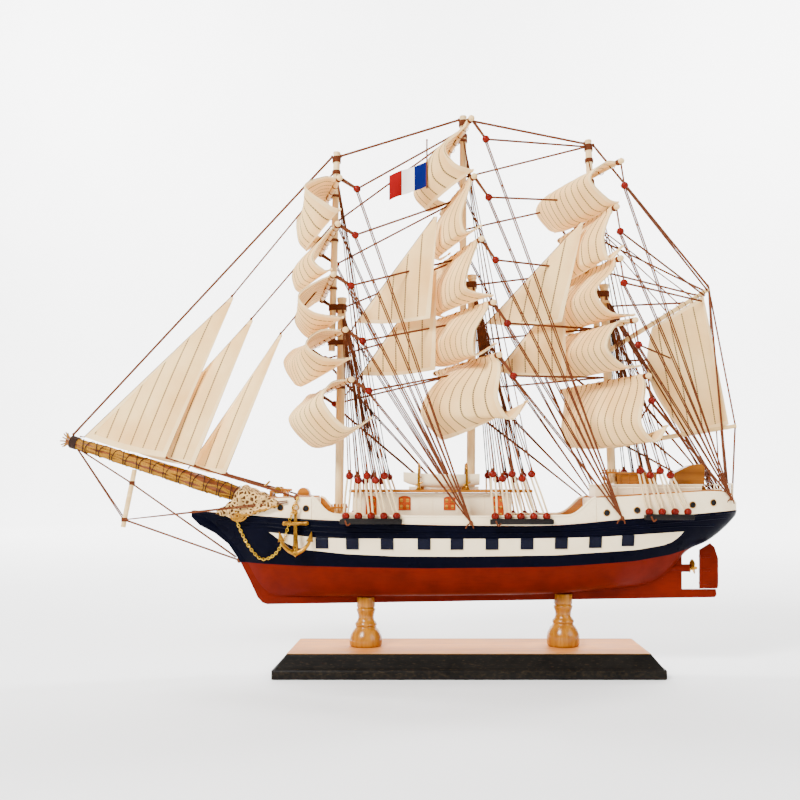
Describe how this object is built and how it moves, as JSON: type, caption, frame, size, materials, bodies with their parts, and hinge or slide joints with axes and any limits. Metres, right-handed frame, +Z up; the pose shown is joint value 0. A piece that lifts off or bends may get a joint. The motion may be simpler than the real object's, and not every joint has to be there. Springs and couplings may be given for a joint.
{
  "type": "display model of a three-masted tall ship",
  "caption": "Souvenir wooden display model of a three-masted square-rigged sailing ship with cloth sails, held by turned pedestals on a chamfered plinth.",
  "frame": {"origin": "middle of the plinth's underside", "axes": "+Z up, -X towards the bow and bowsprit, -Y to port"},
  "size_m": [0.502, 0.1093, 0.414],
  "materials": {
    "plinth_wood": "satin varnish, with a black painted edge",
    "golden_wood": "gloss varnish",
    "pale_wood": "satin varnish",
    "hull_paint": "gloss paint, dark blue above the waterline and red-brown below",
    "hull_red": "gloss paint",
    "white_paint": "satin paint",
    "rack_paint": "black painted board with glossy red beads",
    "sail_cloth": "stiffened cotton",
    "rope": "waxed thread",
    "flag_cloth": "woven, in three upright stripes",
    "brass": "cast, bright"
  },
  "bodies": {
    "ship": {"plinth": "plinth_wood", "pedestal_fore": "golden_wood", "pedestal_aft": "golden_wood", "hull": "hull_paint", "bulwark_port": "white_paint", "bulwark_starboard": "white_paint", "forecastle": "white_paint", "poop": "white_paint", "deckhouse": "white_paint", "deckhouse_roof": "golden_wood", "lifeboat_port": "white_paint", "lifeboat_starboard": "white_paint", "bowsprit": "golden_wood", "dolphin_striker": "pale_wood", "gaff": "pale_wood", "boom": "pale_wood", "anchor_port": "brass", "anchor_starboard": "brass", "flag": "flag_cloth", "fore_lower_mast": "pale_wood", "fore_topmast": "pale_wood", "fore_rack_port": "rack_paint", "fore_rack_starboard": "rack_paint", "main_lower_mast": "pale_wood", "main_topmast": "pale_wood", "main_rack_port": "rack_paint", "main_rack_starboard": "rack_paint", "mizzen_lower_mast": "pale_wood", "mizzen_topmast": "pale_wood", "mizzen_rack_port": "rack_paint", "mizzen_rack_starboard": "rack_paint", "fore_royal": "sail_cloth", "fore_topgallant": "sail_cloth", "fore_upper_topsail": "sail_cloth", "fore_lower_topsail": "sail_cloth", "fore_course": "sail_cloth", "main_royal": "sail_cloth", "main_topgallant": "sail_cloth", "main_upper_topsail": "sail_cloth", "main_lower_topsail": "sail_cloth", "main_course": "sail_cloth", "mizzen_royal": "sail_cloth", "mizzen_topgallant": "sail_cloth", "mizzen_upper_topsail": "sail_cloth", "mizzen_lower_topsail": "sail_cloth", "mizzen_course": "sail_cloth", "flying_jib": "sail_cloth", "outer_jib": "sail_cloth", "inner_jib": "sail_cloth", "main_staysail_upper": "sail_cloth", "main_staysail_lower": "sail_cloth", "mizzen_staysail_upper": "sail_cloth", "mizzen_staysail_lower": "sail_cloth", "spanker": "sail_cloth", "fore_stay": "rope", "fore_main_stay": "rope", "main_mizzen_stay": "rope", "back_stay": "rope"},
    "rudder": {"rudder": "hull_red"},
    "propeller": {"propeller": "brass"}
  },
  "joints": [
    {"name": "rudder_turn", "type": "hinge", "parent": "ship", "child": "rudder", "pos_m": [0.1746, 0, 0.0752], "axis": [0, 0, 1], "range_deg": [-35, 35]},
    {"name": "propeller_spin", "type": "hinge", "parent": "ship", "child": "propeller", "pos_m": [0.1686, 0, 0.0753], "axis": [1, 0, 0], "continuous": true}
  ]
}
